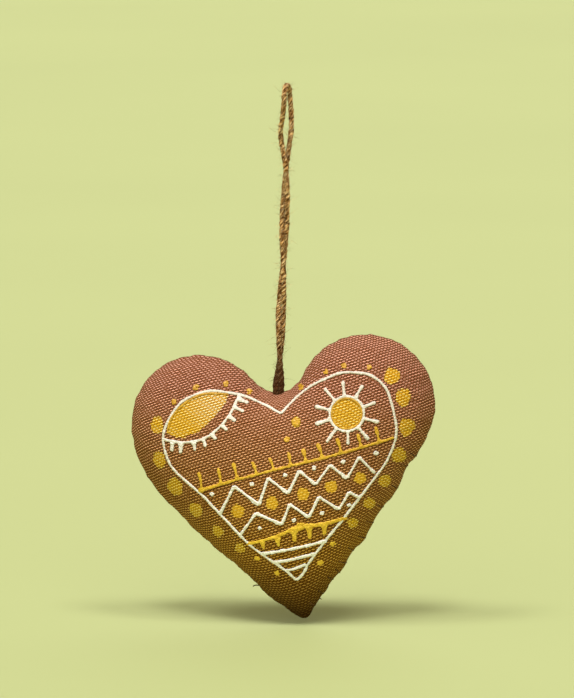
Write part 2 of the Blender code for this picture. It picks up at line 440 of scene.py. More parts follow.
# heart cover: two linen panels sewn along the rim, stuffed by a cloth simulation
coverSet = {"cellSize": 1.25 * mm, "startFill": 0.93, "pressure": 5.0, "frames": 24, "workScale": 10.0,
            "middle": (0.0, 0.0, -0.145), "mostMove": 2.2 * mm, "gatherBand": 12 * mm, "gathers": 0.10,
            "lobeGather": 0.30, "lobesFrom": -132 * mm, "flankGather": 0.05, "closingGather": 0.8,
            "closingFrom": (5 * mm, -124 * mm), "fade": 10 * mm, "entryX": -3.3 * mm, "entryDip": 1.6 * mm,
            "entryWidth": 3.2 * mm, "cleftReach": 12 * mm, "cleftFrom": -118 * mm,
            "pocket": (2.7 * mm, -0.1148, 5.3 * mm), "leastDepth": 0.5 * mm, "jitter": 0.12, "rimClear": 0.6,
            "easings": 6, "seed": 5}
heartMiddle = np.array([0.0, -0.140])
# where hand sewing pushes the rim out (+) or draws it in (-): x, height, reach and push in mm
rimPushes = [(-48.0, -144.0, 13.0, 2.3), (-42.0, -152.5, 6.5, 0.7), (-33.5, -161.5, 7.0, 1.25),
             (-25.5, -169.0, 4.0, 0.6), (-4.2, -187.0, 8.0, 1.75), (5.0, -194.5, 4.0, 1.6), (1.8, -192.8, 2.8, 0.6),
             (48.0, -131.5, 5.0, 0.4), (40.6, -148.0, 5.5, 1.1), (28.5, -165.0, 4.5, 1.15), (21.0, -176.5, 3.5, 0.6),
             (46.0, -138.8, 2.4, -0.7), (38.0, -154.8, 2.4, -0.6), (26.0, -170.2, 2.0, -0.8),
             (17.5, -180.5, 3.0, -0.2)]


def seamOutline(node, values):
    # the rim of the solid heart, read where its middle plane cuts it, without the pocket for the twine
    shape = bmesh.new()
    shape.from_mesh(node.data)
    bmesh.ops.remove_doubles(shape, verts=shape.verts, dist=1e-6)
    tree = BVHTree.FromBMesh(shape)
    cut = bmesh.ops.bisect_plane(shape, geom=shape.verts[:] + shape.edges[:] + shape.faces[:],
                                 plane_co=(0, 0, 0), plane_no=(0, 1, 0))["geom_cut"]
    nextTo = {}
    for edge in cut:
        if isinstance(edge, bmesh.types.BMEdge):
            a, b = edge.verts
            nextTo.setdefault(a, []).append(b)
            nextTo.setdefault(b, []).append(a)
    first = max(nextTo, key=lambda v: v.co.x)
    loop, before, here = [first], None, first
    while True:
        ahead = [v for v in nextTo[here] if v is not before][0]
        before, here = here, ahead
        if here is first:
            break
        loop.append(here)
    outline = np.array([(v.co.x, v.co.z) for v in loop])
    shape.free()
    halfWide, pocketMiddle, halfHigh = values["pocket"]
    inPocket = (abs(outline[:, 0] - values["entryX"]) < halfWide) & (abs(outline[:, 1] - pocketMiddle) < halfHigh)
    outline = outline[~inPocket]
    turned = np.roll(outline, 1, axis=0)
    if ((outline - turned)[:, 0] * (outline + turned)[:, 1]).sum() < 0:
        outline = outline[::-1]
    return outline, tree


def insideOutline(points, outline):
    inside = np.zeros(len(points), bool)
    x, z = points[:, 0], points[:, 1]
    for (x0, z0), (x1, z1) in zip(outline, np.roll(outline, 1, axis=0)):
        crosses = (z0 > z) != (z1 > z)
        inside ^= crosses & (x < (x1 - x0) * (z - z0) / (z1 - z0 + 1e-15) + x0)
    return inside


def sewnRim(node, values):
    # the rim as sewn: slight waves all round, pushes and tucks, a dip where the twine goes in
    outline, tree = seamOutline(node, values)
    rim, along = evenSteps(curveThrough(outline, 8, closed=True), values["cellSize"], closed=True)
    tangent = np.roll(rim, -1, axis=0) - np.roll(rim, 1, axis=0)
    tangent /= np.linalg.norm(tangent, axis=1)[:, None]
    outward = np.stack([tangent[:, 1], -tangent[:, 0]], 1)
    if ((rim - rim.mean(0)) * outward).sum() < 0:
        outward = -outward
    wave = 0.09 * mm * np.sin(along * 885) + 0.07 * mm * np.sin(along * 537 + 1.0)
    for x, height, reach, push in rimPushes:
        away = (rim[:, 0] - x * mm) ** 2 + (rim[:, 1] - height * mm) ** 2
        wave += push * mm * np.exp(-away / (reach * mm) ** 2)
    inCleft = (abs(rim[:, 0] - values["entryX"]) < values["cleftReach"]) & (rim[:, 1] > values["cleftFrom"])
    wave -= inCleft * values["entryDip"] * np.exp(-((rim[:, 0] - values["entryX"]) / values["entryWidth"]) ** 2)
    return rim + outward * wave[:, None], tree


def makeCover(node, values):
    # front and back panel as one closed mesh that shares its points on the rim, enlarged for the simulation
    rim, tree = sewnRim(node, values)
    count = len(rim)
    step = values["cellSize"]
    low, high = rim.min(0), rim.max(0)
    seeded = np.random.default_rng(values["seed"])
    grid = []
    for row, z in enumerate(np.arange(low[1], high[1], step * math.sqrt(3) / 2)):
        for x in np.arange(low[0] + (row % 2) * step / 2, high[0], step):
            grid.append((x, z))
    grid = np.array(grid) + seeded.uniform(-values["jitter"], values["jitter"], (len(grid), 2)) * step
    grid = grid[insideOutline(grid, rim)]
    nearest = np.sqrt(((grid[:, None, :] - rim[None, :, :]) ** 2).sum(2)).min(1)
    grid = grid[nearest > step * values["rimClear"]]
    flat = [Vector(p) for p in rim] + [Vector(p) for p in grid]
    edges = [(i, (i + 1) % count) for i in range(count)]
    corners, _, faces, sources, _, _ = geometry.delaunay_2d_cdt(flat, edges, [list(range(count))], 1, 1e-7)
    place = np.array([c[:] for c in corners])
    onRim = np.array([any(i < count for i in source) for source in sources])
    height = np.zeros(len(place))
    for i, (x, z) in enumerate(place):
        if not onRim[i]:
            hit = tree.ray_cast(Vector((x, -0.2, z)), Vector((0, 1, 0)))[0]
            height[i] = -hit.y if hit is not None else values["leastDepth"]
    height *= values["startFill"]
    nextTo = [set() for _ in place]
    for face in faces:
        for i in face:
            nextTo[i].update(face)
    nextTo = [sorted(near - {i}) for i, near in enumerate(nextTo)]
    for _ in range(values["easings"]):
        eased = np.array([height[near].mean() for near in nextTo])
        height = np.where(onRim, 0.0, 0.5 * height + 0.5 * eased)
    backOf = np.arange(len(place))
    backOf[~onRim] = len(place) + np.arange((~onRim).sum())
    start = np.vstack([np.stack([place[:, 0], -height, place[:, 1]], 1),
                       np.stack([place[~onRim, 0], height[~onRim], place[~onRim, 1]], 1)])
    panels = [tuple(face) for face in faces] + [tuple(int(backOf[i]) for i in face[::-1]) for face in faces]
    middle = np.array(values["middle"])
    cover = meshPiece("heart_cover", (start - middle) * values["workScale"], panels)
    shape = bmesh.new()
    shape.from_mesh(cover.data)
    bmesh.ops.recalc_face_normals(shape, faces=shape.faces)
    shape.to_mesh(cover.data)
    shape.free()
    toRim = np.sqrt(((start[:, None, [0, 2]] - rim[None, :, :]) ** 2).sum(2)).min(1)
    # the cloth is gathered most along the closing seam on the right, then on the lobes, and little on the flanks
    closingX, closingTop = values["closingFrom"]
    closing = np.clip((start[:, 0] - closingX) / values["fade"], 0, 1)
    closing = closing * np.clip((closingTop - start[:, 2]) / values["fade"], 0, 1)
    lobes = np.clip((start[:, 2] - values["lobesFrom"]) / values["fade"], 0, 1)
    share = values["flankGather"] + (values["lobeGather"] - values["flankGather"]) * lobes
    share = np.maximum(share, closing * values["closingGather"])
    loose = np.clip(1 - toRim / values["gatherBand"], 0, 1) ** 0.7 * share
    seam = cover.vertex_groups.new(name="seam")
    seam.add([int(i) for i in np.nonzero(onRim)[0]], 1.0, "REPLACE")
    gathers = cover.vertex_groups.new(name="gathers")
    for i, weight in enumerate(loose):
        if weight > 0:
            gathers.add([i], float(weight), "REPLACE")
    return cover, start, len(place)


def stuffCover(cover, start, values):
    # the panels swell around the filling; then the mesh is brought back to true size
    middle = np.array(values["middle"])
    scale = values["workScale"]
    cloth = cover.modifiers.new("stuffing", "CLOTH")
    cloth.settings.use_pressure = True
    cloth.settings.uniform_pressure_force = values["pressure"]
    cloth.settings.bending_stiffness = 0.1
    cloth.settings.vertex_group_mass = "seam"
    cloth.settings.vertex_group_shrink = "gathers"
    cloth.settings.shrink_min = 0.0
    cloth.settings.shrink_max = -values["gathers"]
    cloth.settings.effector_weights.gravity = 0.0
    cloth.point_cache.frame_start = 1
    cloth.point_cache.frame_end = values["frames"] + 5
    for number in range(1, values["frames"] + 1):
        bpy.context.scene.frame_set(number)
    applyModifier(cover, "stuffing")
    bpy.context.scene.frame_set(1)
    moved = readVertices(cover) / scale + middle - start
    reach = np.linalg.norm(moved, axis=1)
    moved *= np.minimum(1.0, values["mostMove"] / np.maximum(reach, 1e-9))[:, None]
    cover.data.vertices.foreach_set("co", (start + moved).ravel())
    cover.data.update()
    print("cover stuffed, furthest move in mm:", round(float(reach.max()) * 1000, 2))


# threads to the mm along the cloth: to the right, upwards, and how both change with distance from the middle
weaveRun = {"uprights": (0.8426, -0.2324, -0.00036, 0.001347, -0.000105),
            "levels": (0.1558, 1.5195, -0.00005, 0.00027, 0.0015),
            "across": (-0.060, 0.060), "upward": (-0.196, -0.086), "samples": 24}


def threadNumber(run, x, z):
    return run[0] * x + run[1] * z + run[2] * x * x + run[3] * x * z + run[4] * z * z


def layWeave(cover, frontCount, values):
    # each panel is laid out flat from its middle, by the length over its crown, and its threads are counted
    points = readVertices(cover)
    tree = surfaceTree(cover)
    xs = np.arange(*values["across"], mm)
    zs = np.arange(*values["upward"], mm)
    crown = np.zeros((len(xs), len(zs)))
    for i, x in enumerate(xs):
        for j, z in enumerate(zs):
            hit = tree.ray_cast(Vector((x, -0.2, z)), Vector((0, 1, 0)))[0]
            crown[i, j] = -hit.y if hit is not None else 0.0
    flat = points[:, [0, 2]] - heartMiddle
    total = np.zeros(len(points))
    beforeHeight = None
    samples = values["samples"]
    for s in range(samples + 1):
        spot = heartMiddle + flat * s / samples
        u = np.clip((spot[:, 0] - xs[0]) / mm, 0, len(xs) - 1.001)
        v = np.clip((spot[:, 1] - zs[0]) / mm, 0, len(zs) - 1.001)
        i, j = u.astype(int), v.astype(int)
        fu, fv = u - i, v - j
        level = (crown[i, j] * (1 - fu) * (1 - fv) + crown[i + 1, j] * fu * (1 - fv)
                 + crown[i, j + 1] * (1 - fu) * fv + crown[i + 1, j + 1] * fu * fv)
        if beforeHeight is not None:
            total += np.hypot(np.linalg.norm(flat, axis=1) / samples, level - beforeHeight)
        beforeHeight = level
    size = np.maximum(np.linalg.norm(flat, axis=1), 1e-9)
    laid = flat / size[:, None] * total[:, None] / mm
    layer = cover.data.uv_layers.new(name="weave")
    for face in cover.data.polygons:
        back = max(face.vertices) >= frontCount
        for corner, i in zip(face.loop_indices, face.vertices):
            x, z = laid[i] * (-1, 1) if back else laid[i]
            layer.data[corner].uv = (threadNumber(values["uprights"], x, z), threadNumber(values["levels"], x, z))


cover, coverStart, frontCount = makeCover(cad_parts["heart"], coverSet)
stuffCover(cover, coverStart, coverSet)
layWeave(cover, frontCount, weaveRun)
smoother = cover.modifiers.new("smoother", "SUBSURF")
smoother.levels = 1
smoother.render_levels = 1
applyModifier(cover, "smoother")
print("cover triangles:", len(cover.data.polygons) * 2)


# linen: plain weave whose level threads stand proud, with threads of uneven thickness and tone
# in the weave, the dark colour is painted shade in the gaps and the crown colours are painted highlights on the thread
# tops
linenSet = {"dark": (0.026, 0.0085, 0.0016), "thread": (0.31, 0.099, 0.038), "crown": (0.84, 0.42, 0.32),
            "threadLitBelow": (0.31, 0.128, 0.006), "crownLitBelow": (0.82, 0.47, 0.105),
            "levelPitch": 0.65 * mm, "uprightPitch": 1.14 * mm, "lean": 0.16, "uprightShare": 0.52,
            "relief": 0.30 * mm, "seamWidth": 0.9 * mm, "gold": (0.86, 0.47, 0.018), "goldLitBelow": (1.0, 0.66, 0.032),
            "goldThick": (0.80, 0.47, 0.028), "goldGap": (0.28, 0.115, 0.004), "goldCrown": (1.0, 0.80, 0.31),
            "tipShadeTone": 0.12, "tipShadeSpan": (-0.172, -0.1925), "almondHighlightPlace": (-0.0243, -0.0150, -0.1132),
            "almondHighlightSpan": (13 * mm, 3 * mm), "almondHighlightGold": (1.0, 0.92, 0.70)}
# the heights between which the linen and the paint pass from their upper tones to their lower ones; the lower tones
# are painted light from below, yellow-green on the linen and lighter on the paint
lightBelowSpan = (-0.108, -0.166)
# how the threads wander, and the parts that thread, slub and single raised stretch have in the tone
weaveLook = {"swayScale": 150.0, "sway": 1.5, "slubScale": 620.0, "roundness": 0.7, "threadShare": 0.30,
             "slubShare": 0.55, "stretchShare": 0.42}


def makeWeaveGroup():
    group, given, out = newGroup("plainWeave", [
        ("Threads", "NodeSocketVector", None), ("Level Pitch", "NodeSocketFloat", 0.00065),
        ("Upright Pitch", "NodeSocketFloat", 0.00114), ("Lean", "NodeSocketFloat", 0.16),
        ("Upright Share", "NodeSocketFloat", 0.5)],
        [("Height", "NodeSocketFloat"), ("Tone", "NodeSocketFloat")])
    count = addNode(group, "ShaderNodeSeparateXYZ", {0: given.outputs["Threads"]})
    inMetres = addNode(group, "ShaderNodeCombineXYZ", {
        "X": calc(group, "MULTIPLY", count.outputs[0], given.outputs["Upright Pitch"]),
        "Y": calc(group, "MULTIPLY", count.outputs[1], given.outputs["Level Pitch"])}).outputs[0]
    sway = addNode(group, "ShaderNodeTexNoise", {"Vector": inMetres, "Scale": weaveLook["swayScale"], "Detail": 1.5})
    shift = addNode(group, "ShaderNodeVectorMath", {0: sway.outputs["Color"], 1: (0.5, 0.5, 0.5)},
                    operation="SUBTRACT")
    shift = addNode(group, "ShaderNodeVectorMath", {0: shift.outputs[0], "Scale": weaveLook["sway"]},
                    operation="SCALE")
    place = addNode(group, "ShaderNodeVectorMath", {0: given.outputs["Threads"], 1: shift.outputs[0]},
                    operation="ADD").outputs[0]
    split = addNode(group, "ShaderNodeSeparateXYZ", {0: place})
    across, up = split.outputs[0], split.outputs[1]

    def wave(number, operation="SINE"):
        return calc(group, operation, calc(group, "MULTIPLY", number, math.pi))

    def chance(number):
        return addNode(group, "ShaderNodeTexWhiteNoise", {"W": calc(group, "FLOOR", number)},
                       noise_dimensions="1D").outputs["Value"]

    level, upright = wave(up), wave(across)
    # each raised stretch leans along its own yarn's twist
    slope = calc(group, "MULTIPLY", wave(up, "COSINE"), calc(group, "SIGN", level))
    leaning = wave(calc(group, "MULTIPLY_ADD", slope, given.outputs["Lean"], across))
    levelBody = calc(group, "POWER", calc(group, "ABSOLUTE", level), weaveLook["roundness"])
    uprightBody = calc(group, "POWER", calc(group, "ABSOLUTE", upright), weaveLook["roundness"])
    # each thread goes over its neighbour for half a wave and under it for the next
    levelTurn = calc(group, "MULTIPLY", calc(group, "SIGN", level), leaning)
    uprightTurn = calc(group, "MULTIPLY", calc(group, "SIGN", upright), level)
    levelOver = calc(group, "MULTIPLY_ADD", levelTurn, 0.5, 0.5)
    uprightOver = calc(group, "MULTIPLY_ADD", uprightTurn, -0.5, 0.5)
    levelHeight = calc(group, "MULTIPLY", levelBody, levelOver)
    uprightHeight = calc(group, "MULTIPLY", calc(group, "MULTIPLY", uprightBody, uprightOver),
                         given.outputs["Upright Share"])
    height = calc(group, "MAXIMUM", levelHeight, uprightHeight)
    isLevel = calc(group, "GREATER_THAN", levelHeight, uprightHeight)
    draw = calc(group, "ADD", calc(group, "MULTIPLY", isLevel, chance(up)),
                calc(group, "MULTIPLY", calc(group, "SUBTRACT", 1.0, isLevel), chance(across)))
    slub = addNode(group, "ShaderNodeTexNoise", {"Vector": inMetres, "Scale": weaveLook["slubScale"], "Detail": 2.0,
                                                 "Roughness": 0.6})
    stretchPlace = addNode(group, "ShaderNodeCombineXYZ", {"X": calc(group, "FLOOR", across),
                                                           "Y": calc(group, "FLOOR", up)})
    stretch = addNode(group, "ShaderNodeTexWhiteNoise", {"Vector": stretchPlace.outputs[0]}, noise_dimensions="2D")
    slubTone = calc(group, "MULTIPLY", slub.outputs[0], weaveLook["slubShare"])
    tone = calc(group, "MULTIPLY_ADD", draw, weaveLook["threadShare"], slubTone)
    tone = calc(group, "MULTIPLY_ADD", stretch.outputs["Value"], weaveLook["stretchShare"], tone, clamp=True)
    group.links.new(height, out.inputs["Height"])
    group.links.new(tone, out.inputs["Tone"])
    return group


weaveGroup = makeWeaveGroup()


def makeLinen(values):
    material, tree, shader = newMaterial("brown linen", 0.9)
    weave = useGroup(tree, weaveGroup, {
        "Threads": addNode(tree, "ShaderNodeUVMap", uv_map="weave").outputs[0],
        "Level Pitch": values["levelPitch"], "Upright Pitch": values["uprightPitch"],
        "Lean": values["lean"], "Upright Share": values["uprightShare"]})
    height, tone = weave.outputs["Height"], weave.outputs["Tone"]
    # painted light: the linen is rosier on the lobes and browner, more olive below, standing in for yellow-green light
    # from below; painted shade darkens the tip, which faces down
    place, level = objectPlace(tree)
    towardsLightBelow = spread(tree, level[2], *lightBelowSpan)
    # painted shade in the gaps between threads, and painted highlights on the raised thread tops
    base = mixColour(tree, spread(tree, height, 0.20, 0.58), values["dark"],
                     mixColour(tree, towardsLightBelow, values["thread"], values["threadLitBelow"]))
    crownHighlight = calc(tree, "MULTIPLY", spread(tree, height, 0.45, 0.82), spread(tree, tone, 0.08, 0.62))
    base = mixColour(tree, crownHighlight, base, mixColour(tree, towardsLightBelow, values["crown"], values["crownLitBelow"]))
    # painted shade: the linen turns darker towards the tip, which faces down, away from the light
    toTipShade = spread(tree, level[2], *values["tipShadeSpan"], 0.0, 1.0 - values["tipShadeTone"])
    # the panels meet in a narrow groove along the rim, which lies in the middle plane; painted shade darkens the
    # groove, and the bump sinks it
    seam = spread(tree, calc(tree, "ABSOLUTE", level[1]), 0.10 * mm, values["seamWidth"] / 2, 1.0, 0.0)
    base = mixColour(tree, calc(tree, "MAXIMUM", toTipShade, calc(tree, "MULTIPLY", seam, 0.7)), base, values["dark"])
    # gold soaks in with a frayed border that follows the threads; its darker tone in the gaps is painted shade and its
    # paler tone on their tops a painted highlight
    soaked = addNode(tree, "ShaderNodeAttribute", attribute_name="goldDepth").outputs["Fac"]
    wander = addNode(tree, "ShaderNodeTexNoise", {"Vector": place, "Scale": 900.0, "Detail": 2.0}).outputs[0]
    fray = calc(tree, "MULTIPLY_ADD", height, 0.55, calc(tree, "MULTIPLY_ADD", tone, 0.5, soaked))
    gold = spread(tree, calc(tree, "MULTIPLY_ADD", wander, 1.5, fray), 1.12, 1.40)
    coat = addNode(tree, "ShaderNodeAttribute", attribute_name="goldCoat").outputs["Fac"]
    thinGold = mixColour(tree, towardsLightBelow, values["gold"], values["goldLitBelow"])
    fullGold = mixColour(tree, coat, thinGold, values["goldThick"])
    gap = mixColour(tree, calc(tree, "MULTIPLY", coat, 0.40), values["goldGap"], fullGold)
    goldTone = mixColour(tree, spread(tree, height, 0.22, 0.62), gap, fullGold)
    shine = calc(tree, "MULTIPLY", spread(tree, height, 0.55, 0.9), spread(tree, tone, 0.2, 0.7))
    shine = calc(tree, "MULTIPLY", shine, calc(tree, "MULTIPLY_ADD", coat, -0.55, 1.0))
    goldTone = mixColour(tree, shine, goldTone, values["goldCrown"])
    # painted highlight: the thread tops at the almond's upper corner are paler
    away = addNode(tree, "ShaderNodeVectorMath", {0: place, 1: values["almondHighlightPlace"]}, operation="DISTANCE")
    almondHighlight = spread(tree, away.outputs["Value"], *values["almondHighlightSpan"], 0.0, 0.75)
    almondHighlight = calc(tree, "MULTIPLY", almondHighlight, spread(tree, height, 0.40, 0.85))
    goldTone = mixColour(tree, almondHighlight, goldTone, values["almondHighlightGold"])
    tree.links.new(mixColour(tree, gold, base, goldTone), shader.inputs["Base Color"])
    tree.links.new(spread(tree, gold, 0.0, 1.0, 0.9, 0.42), shader.inputs["Roughness"])
    # thick gold evens the weave out
    weaveRise = calc(tree, "MULTIPLY_ADD", seam, -1.2, height)
    addRelief(tree, shader, 1.0, values["relief"],
              calc(tree, "MULTIPLY", weaveRise, calc(tree, "MULTIPLY_ADD", coat, -0.3, 1.0)))
    setFinish(shader, specular=0.035, sheen=0.05, sheenRoughness=0.5, sheenTint=(1.0, 0.70, 0.18, 1.0))
    return material


cover.data.materials.append(makeLinen(linenSet))
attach(cover, "root")
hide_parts("heart")
print("linen laid")


# painted decoration: places in mm on the heart's front, x to the right and height from the loop's top down
paintSet = {"whiteWidth": 1.06, "flatness": 0.60, "fullHeight": 0.40, "lift": 0.12, "step": 0.28,
            "unevenness": 0.27, "fineUnevenness": 0.05, "sway": 0.07, "ragged": 0.18, "raggedScale": (1900, 620),
            "cell": 0.156, "workScale": 100, "seed": 21}
# how wide a stroke is along its way, as places from 0 to 1 and shares of its width
strokeShapes = {"lash": ([0, 0.2, 0.42, 0.7, 1], [2.5, 1.8, 1.25, 1.22, 1.28]),
                "ray": ([0, 0.14, 0.35, 0.75, 1], [2.0, 1.1, 0.85, 1.15, 1.2]),
                "zigzag": ([0, 0.16, 0.5, 0.84, 1], [1.35, 1.1, 0.88, 1.1, 1.35]),
                "stripe": ([0, 0.08, 0.2, 0.85, 1], [1.5, 1.1, 0.95, 1.05, 1.4])}
heartLine = [
    (-0.8, -117.2), (-8.7, -113.8), (-16.1, -110.9), (-22.5, -109.8), (-26.8, -109.5), (-31.5, -110.6),
    (-37.0, -113.5), (-40.6, -118.0), (-43.0, -122.8), (-43.9, -127.6), (-43.1, -132.0), (-40.7, -137.5),
    (-35.9, -142.1), (-29.5, -147.3), (-22.9, -154.1), (-15.6, -161.8), (-12.0, -165.5), (-6.6, -169.5),
    (0.6, -174.7), (4.5, -178.5)]
heartLineRight = [
    (4.5, -178.5), (6.7, -176.6), (9.8, -171.2), (15.3, -163.6), (21.5, -155.8), (28.0, -147.3), (34.8, -138.2),
    (37.7, -133.8), (40.6, -126.4), (41.0, -120.8), (39.2, -112.4), (36.9, -107.0), (32.2, -103.1), (27.8, -102.1),
    (21.2, -102.2), (15.0, -104.6), (9.4, -107.7), (4.0, -112.2), (-0.8, -117.2)]
cornerArc = [(-43.6, -127.4), (-35.6, -128.0), (-28.2, -126.1), (-22.8, -122.0), (-18.9, -116.9), (-16.4, -111.0)]
lashTips = [(-40.6, -131.1), (-37.2, -131.6), (-31.9, -130.4), (-28.0, -128.8), (-24.3, -126.2), (-20.4, -122.9),
            (-17.4, -119.7), (-14.6, -116.4), (-13.3, -113.6)]
sun = {"centre": (23.4, -116.5), "disc": 5.9, "ring": 6.2, "rim": 5.45,
       "rayLength": (11.9, 11.5, 11.4, 10.9, 11.8, 12.0, 10.9, 12.3, 11.9, 11.7),
       "rayAngle": (134, 98.6, 61.8, 22, -15, -49.8, -86.7, -125, -161, 168.5)}
# combs: the line, its width, and for each tooth its place, lean and reach
upperComb = {"line": [(-30.8, -145.8), (-17.5, -141.2), (0.7, -136.1), (19.3, -131.3), (40.3, -125.4)],
             "width": 1.30,
             "along": ([0, 0.02, 0.06, 0.3, 0.6, 0.9, 1], [1.35, 1.4, 0.82, 0.72, 0.82, 0.88, 0.7]),
             "teeth": [(-29.4, -1.1, 6.7), (-22.2, -1.1, 6.0), (-16.2, -1.5, 6.2), (-8.9, -1.9, 4.6),
                       (-2.8, -1.6, 4.4), (3.3, -0.8, 4.9), (8.8, -1.1, 4.9), (14.8, -1.8, 5.4), (21.5, -1.6, 5.5),
                       (28.6, -1.3, 5.1), (35.0, -1.3, 5.7)],
             "tooth": ([0, 0.14, 0.32, 0.55, 0.78, 0.92, 1], [2.0, 1.2, 0.60, 0.95, 1.20, 1.12, 0.85])}
lowerComb = {"line": [(-13.3, -165.2), (-3.3, -162.2), (5.6, -158.3), (14.6, -157.0), (23.2, -154.9)],
             "width": 1.25,
             "along": ([0, 0.1, 0.4, 0.55, 0.7, 0.9, 1], [0.95, 0.88, 1.12, 1.5, 1.3, 1.25, 1.0]),
             "teeth": [(-7.4, 0.5, -3.2), (-1.9, 0.6, -3.9), (4.3, 0.2, -4.6), (9.8, 0.1, -4.8), (15.1, 0.1, -4.3)],
             "tooth": ([0, 0.16, 0.4, 0.7, 1], [3.3, 2.5, 1.65, 1.28, 1.0])}
upperZigzag = [(-22.9, -154.1), (-17.4, -143.3), (-8.3, -150.0), (-4.9, -140.0), (2.4, -145.4), (6.4, -137.2),
               (12.5, -142.0), (17.5, -135.0), (23.6, -139.9), (27.9, -132.2), (33.4, -138.5)]
lowerZigzag = [(-15.6, -161.8), (-9.4, -153.1), (0.0, -157.0), (3.0, -149.4), (9.8, -154.3), (13.5, -146.8),
               (20.6, -151.5), (24.2, -145.2), (27.6, -147.3)]
stripes = [((-7.7, -168.7), (16.0, -163.4)), ((-3.3, -171.8), (11.5, -168.3)), ((0.6, -175.0), (8.3, -172.4))]
whiteDots = [(-25.7, -146.7), (-10.8, -142.3), (1.3, -138.8), (11.8, -136.1), (22.2, -133.9), (33.9, -130.9),
             (-8.1, -158.7), (4.4, -155.4), (14.5, -152.8), (24.1, -150.1)]
goldBlobs = [(-40.0, -113.7), (-32.0, -108.2), (-21.3, -107.2), (-13.1, -110.2), (5.8, -108.2), (15.2, -102.2),
             (21.9, -99.8), (31.0, -100.0), (1.8, -125.9), (-9.6, -170.5), (-2.4, -176.0), (18.0, -164.9),
             (13.3, -172.0)]
# larger gold dabs: x, height, size and lumps
goldDabs = [(6.7, -157.9, 3.0, 6), (4.9, -119.9, 2.9, 7)]
# soaked gold spots: x, height, half width, half height; the row between the zigzags is painted thick
thickSpots = [(-16.1, -152.6, 2.3, 2.4), (-3.5, -149.2, 2.2, 2.4), (7.8, -145.7, 2.1, 2.2), (17.9, -143.1, 2.1, 2.1),
              (28.2, -140.1, 2.0, 2.1)]
thinSpots = [(4.9, -119.9, 1.5, 1.8), (39.3, -103.2, 2.7, 2.7), (43.4, -110.8, 2.5, 3.1), (44.8, -121.8, 2.55, 3.2),
             (41.8, -132.3, 2.3, 2.8), (36.7, -141.9, 1.95, 2.4), (31.0, -150.0, 1.9, 2.1), (25.2, -157.3, 1.9, 1.9),
             (-46.3, -122.3, 2.3, 3.0), (-45.8, -135.3, 2.3, 3.1), (-40.0, -145.2, 2.8, 3.4),
             (-32.2, -153.4, 2.5, 2.8), (-24.1, -161.0, 2.0, 2.2), (-15.9, -167.0, 1.8, 1.9)]
goldAlmond = [(-42.2, -125.0), (-41.4, -120.6), (-38.6, -116.4), (-34.0, -112.6), (-28.2, -110.4), (-20.4, -110.6),
              (-21.2, -113.6), (-23.9, -117.2), (-27.5, -121.2), (-31.6, -124.3), (-35.8, -125.9), (-39.4, -126.2)]


def circle(centre, radius):
    return [(centre[0] + radius * math.cos(math.radians(a)), centre[1] + radius * math.sin(math.radians(a)))
            for a in range(0, 361, 15)]


def newBrush(name):
    brush = bpy.data.curves.new(name, "CURVE")
    brush.dimensions = "3D"
    brush.bevel_depth = mm
    brush.bevel_resolution = 4
    brush.use_fill_caps = True
    holder = bpy.data.objects.new(name, brush)
    bpy.context.collection.objects.link(holder)
    return holder


def drawLine(brush, tree, route, width, shape=None):
    # one bead of paint on the cloth, its width uneven as a hand-led brush leaves it
    line = curveThrough(route, 10) if len(route) > 2 else np.array(route, float)
    line, along = evenSteps(line, paintSet["step"])
    total = along[-1]
    phase = dice.uniform(0, 100)
    spline = brush.data.splines.new("POLY")
    spots = []
    for (x, height), at in zip(line, along):
        share = 1.0 if shape is None else float(np.interp(at / total, *shape))
        uneven = 1 + paintSet["unevenness"] * noise.noise(Vector((at * 0.55 + phase, 0.3, 0.7)))
        uneven += paintSet["fineUnevenness"] * noise.noise(Vector((at * 2.1, phase, 0.2)))
        size = width * share * uneven / 2
        toEnd = min(at, total - at) + 0.12
        if toEnd < size:
            # round end
            size *= math.sqrt(max(1 - (1 - toEnd / size) ** 2, 0.04))
        sway = paintSet["sway"] * noise.noise(Vector((at * 0.4, phase, 4.0)))
        above = Vector(((x + sway) * mm, -0.2, (height + sway) * mm))
        hit = tree.ray_cast(above, Vector((0, 1, 0)))[0]
        if hit is not None:
            spots.append((hit, size))
    spline.points.add(len(spots) - 1)
    for point, (hit, size) in zip(spline.points, spots):
        point.co = (*hit, 1.0)
        point.radius = size


def drawBlob(brush, tree, x, height, size, lumps, hollow):
    # an uneven dab: a few lumps round its middle, which a hollow keeps apart as a small pit
    turn = dice.uniform(0, 2 * math.pi)
    for number in range(lumps):
        angle = turn + 2 * math.pi * number / lumps + dice.uniform(-0.3, 0.3)
        reach = size * hollow * dice.uniform(0.85, 1.15) / 2
        lumpX, lumpHeight = x + reach * math.cos(angle), height + reach * math.sin(angle)
        # as long as it is wide, so that both its ends round off
        lump = size * dice.uniform(0.42, 0.56)
        route = [(lumpX - lump / 2, lumpHeight - 0.1), (lumpX + lump / 2, lumpHeight + 0.1)]
        drawLine(brush, tree, route, lump)


def drawZigzag(brush, tree, corners, width):
    # one stroke to each side, thickest at the corners; the brush drags along the foot of each valley
    for number, (start, end) in enumerate(zip(corners, corners[1:])):
        start, end = np.array(start), np.array(end)
        middle = (start + end) / 2 + dice.uniform(-0.12, 0.12)
        drawLine(brush, tree, [tuple(start), tuple(middle), tuple(end)], width, strokeShapes["zigzag"])
        if end[1] < start[1] and number < len(corners) - 2:
            back = start - end
            dragged = [tuple(end + back * 0.34), tuple(end + back * 0.17 + (-0.25, -0.35)), tuple(end)]
            drawLine(brush, tree, dragged, width * 0.95)


def drawComb(brush, tree, values):
    drawLine(brush, tree, values["line"], values["width"], values["along"])
    xs = [p[0] for p in values["line"]]
    heights = [p[1] for p in values["line"]]
    for x, lean, reach in values["teeth"]:
        foot = float(np.interp(x, xs, heights))
        route = [(x, foot), (x + lean * 0.35, foot + reach * 0.45), (x + lean, foot + reach)]
        drawLine(brush, tree, route, values["width"] * dice.uniform(0.85, 1.05), values["tooth"])


